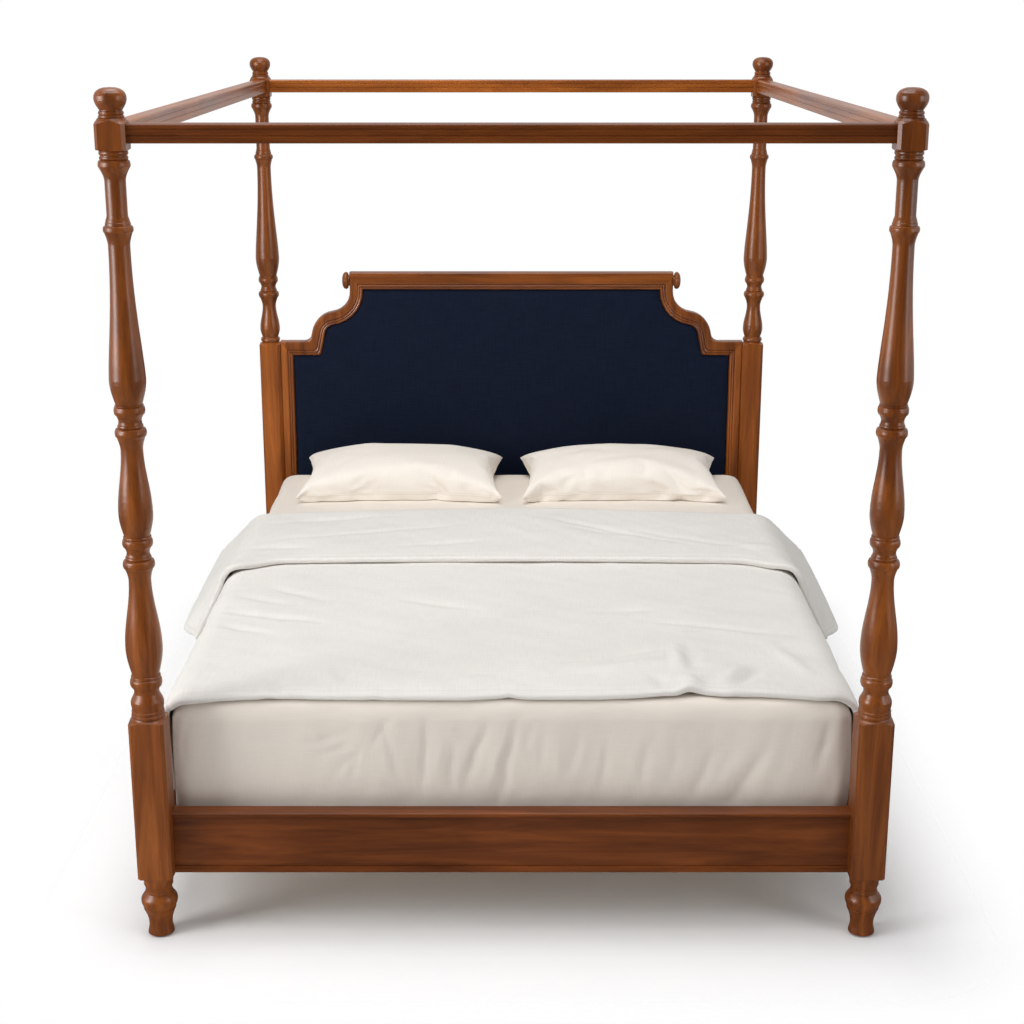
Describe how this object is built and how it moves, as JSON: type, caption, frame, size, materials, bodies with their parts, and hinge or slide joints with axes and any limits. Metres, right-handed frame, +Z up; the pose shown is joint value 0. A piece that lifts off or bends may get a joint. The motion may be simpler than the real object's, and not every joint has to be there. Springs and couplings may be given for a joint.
{
  "type": "poster bed",
  "caption": "Four-poster bed with turned posts, an open canopy frame, a scrolled upholstered headboard, low rails, slats, mattress, folded duvet and pillows.",
  "frame": {"origin": "on the floor, under the middle of the bed's overall box", "axes": "+Z up, +Y towards the headboard, +X to the right for someone who looks at the headboard from the foot"},
  "size_m": [1.7898, 2.242, 1.88],
  "materials": {
    "cherry": "satin lacquer",
    "pine": "planed",
    "steel": "zinc plated",
    "nylon": "matt",
    "navy_fabric": "woven",
    "mattress_cover": "woven",
    "linen": "woven linen",
    "pillow_cotton": "woven"
  },
  "bodies": {
    "frame": {"foot_post_base_left": "cherry", "foot_post_base_right": "cherry", "head_post_base_left": "cherry", "head_post_base_right": "cherry", "foot_post_left": "cherry", "foot_post_right": "cherry", "head_post_left": "cherry", "head_post_right": "cherry", "canopy_rail_foot": "cherry", "canopy_rail_head": "cherry", "canopy_rail_left": "cherry", "canopy_rail_right": "cherry", "foot_rail": "cherry", "foot_rail_cap": "cherry", "foot_rail_moulding": "cherry", "head_rail": "cherry", "side_rail_left": "cherry", "side_rail_right": "cherry", "side_rail_cap_left": "cherry", "side_rail_cap_right": "cherry", "side_rail_moulding_left": "cherry", "side_rail_moulding_right": "cherry", "headboard_stile_left": "cherry", "headboard_stile_right": "cherry", "headboard_scroll_left": "cherry", "headboard_scroll_right": "cherry", "headboard_top_rail": "cherry", "headboard_bottom_rail": "cherry", "roll_end_left": "cherry", "roll_end_right": "cherry", "slat_ledger_left": "pine", "slat_ledger_right": "pine", "slats": "pine", "centre_beam": "pine", "centre_legs": "pine", "headboard_dowels": "pine", "back_panel": "pine", "beam_hangers": "steel", "rail_hooks": "steel", "rail_catch_plates": "steel", "post_studs": "steel", "foot_glides": "nylon", "headboard_pad": "navy_fabric"},
    "mattress": {"mattress": "mattress_cover"},
    "duvet": {"duvet": "linen"},
    "pillow_left": {"pillow_left": "pillow_cotton"},
    "pillow_right": {"pillow_right": "pillow_cotton"},
    "finial_foot_left": {"finial_foot_left": "cherry"},
    "finial_foot_right": {"finial_foot_right": "cherry"},
    "finial_head_left": {"finial_head_left": "cherry"},
    "finial_head_right": {"finial_head_right": "cherry"}
  },
  "joints": [
    {"name": "mattress_lift", "type": "slide", "parent": "frame", "child": "mattress", "axis": [0, 0, 1], "range_m": [0, 0.3]},
    {"name": "duvet_lift", "type": "slide", "parent": "mattress", "child": "duvet", "axis": [0, 0, 1], "range_m": [0, 0.25]},
    {"name": "pillow_left_lift", "type": "slide", "parent": "mattress", "child": "pillow_left", "axis": [0, 0, 1], "range_m": [0, 0.25]},
    {"name": "pillow_right_lift", "type": "slide", "parent": "mattress", "child": "pillow_right", "axis": [0, 0, 1], "range_m": [0, 0.25]},
    {"name": "finial_foot_left_lift", "type": "slide", "parent": "frame", "child": "finial_foot_left", "axis": [0, 0, 1], "range_m": [0, 0.06]},
    {"name": "finial_foot_right_lift", "type": "slide", "parent": "frame", "child": "finial_foot_right", "axis": [0, 0, 1], "range_m": [0, 0.06]},
    {"name": "finial_head_left_lift", "type": "slide", "parent": "frame", "child": "finial_head_left", "axis": [0, 0, 1], "range_m": [0, 0.06]},
    {"name": "finial_head_right_lift", "type": "slide", "parent": "frame", "child": "finial_head_right", "axis": [0, 0, 1], "range_m": [0, 0.06]}
  ]
}
